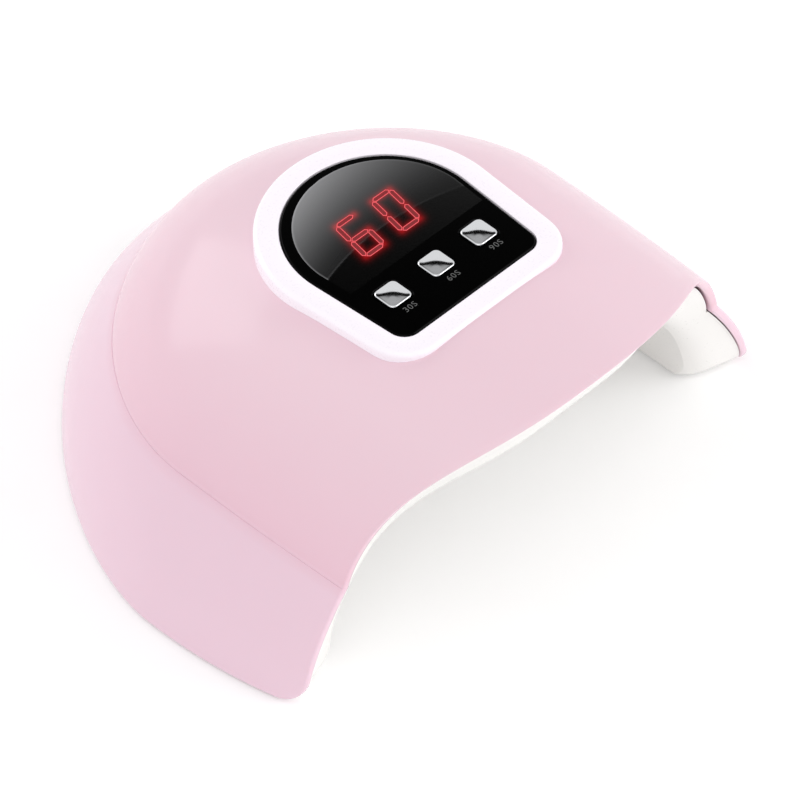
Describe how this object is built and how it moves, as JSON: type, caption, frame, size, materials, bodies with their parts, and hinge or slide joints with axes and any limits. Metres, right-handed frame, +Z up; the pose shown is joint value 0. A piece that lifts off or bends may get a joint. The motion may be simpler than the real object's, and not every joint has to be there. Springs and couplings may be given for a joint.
{
  "type": "uv led nail lamp",
  "caption": "Desktop UV LED nail lamp with an arched hand opening, flared side wings, a timer display and push buttons on top.",
  "frame": {"origin": "middle of the bounding box's base, on the table", "axes": "+Z up; the hand goes in along +Y, so the open front faces -Y; +X is the longest extent, across the wings"},
  "size_m": [0.18, 0.1672, 0.0743],
  "materials": {
    "pink_shell": "moulded, glossy pale pink",
    "white_bezel": "moulded, glossy near-white",
    "black_lens": "tinted glossy black",
    "tape": "thin double-sided foam tape",
    "chrome_key": "plated plastic, mirror-like",
    "switch_plastic": "moulded, satin",
    "switch_metal": "moulded, satin",
    "circuit_board": "green solder mask on glass-epoxy board",
    "steel_screw": "zinc plated",
    "display_plastic": "moulded, black face",
    "chip_plastic": "moulded package",
    "capacitor_can": "sleeved can",
    "inductor_case": "pressed ferrite",
    "red_segments": "light-guiding red resin",
    "white_liner": "moulded, glossy warm white",
    "rubber_foot": "soft, matt",
    "jack_plastic": "moulded, satin",
    "nickel_pin": "nickel plated",
    "strip_board": "white solder mask on an aluminium-core board",
    "led_package": "clear dome on a white package, pale yellow"
  },
  "bodies": {
    "housing": {"top_shell": "pink_shell", "display_bezel": "white_bezel", "display_lens": "black_lens", "lens_tape": "tape", "switch_bodies": "switch_metal", "control_board": "circuit_board", "board_screws": "steel_screw", "digit_module": "display_plastic", "microcontroller": "chip_plastic", "board_capacitor": "capacitor_can", "power_inductor": "inductor_case", "digit_segments": "red_segments", "inner_liner": "white_liner", "liner_screws": "steel_screw", "foot_pads": "rubber_foot", "dc_jack": "jack_plastic", "jack_pin": "nickel_pin", "led_strip_1": "strip_board", "led_strip_2": "strip_board", "led_strip_3": "strip_board", "led_strip_4": "strip_board", "led_strip_5": "strip_board", "led_strip_6": "strip_board", "led_lights_1": "led_package", "led_lights_2": "led_package", "led_lights_3": "led_package", "led_lights_4": "led_package", "led_lights_5": "led_package", "led_lights_6": "led_package"},
    "button_30s": {"button_30s": "chrome_key", "switch_plunger_30s": "switch_plastic"},
    "button_60s": {"button_60s": "chrome_key", "switch_plunger_60s": "switch_plastic"},
    "button_90s": {"button_90s": "chrome_key", "switch_plunger_90s": "switch_plastic"}
  },
  "joints": [
    {"name": "button_30s_press", "type": "slide", "parent": "housing", "child": "button_30s", "axis": [0, 0, -1], "range_m": [0, 0.0005], "stiffness_N_per_m": 1000},
    {"name": "button_60s_press", "type": "slide", "parent": "housing", "child": "button_60s", "axis": [0, 0, -1], "range_m": [0, 0.0005], "stiffness_N_per_m": 1000},
    {"name": "button_90s_press", "type": "slide", "parent": "housing", "child": "button_90s", "axis": [0, 0, -1], "range_m": [0, 0.0005], "stiffness_N_per_m": 1000}
  ]
}
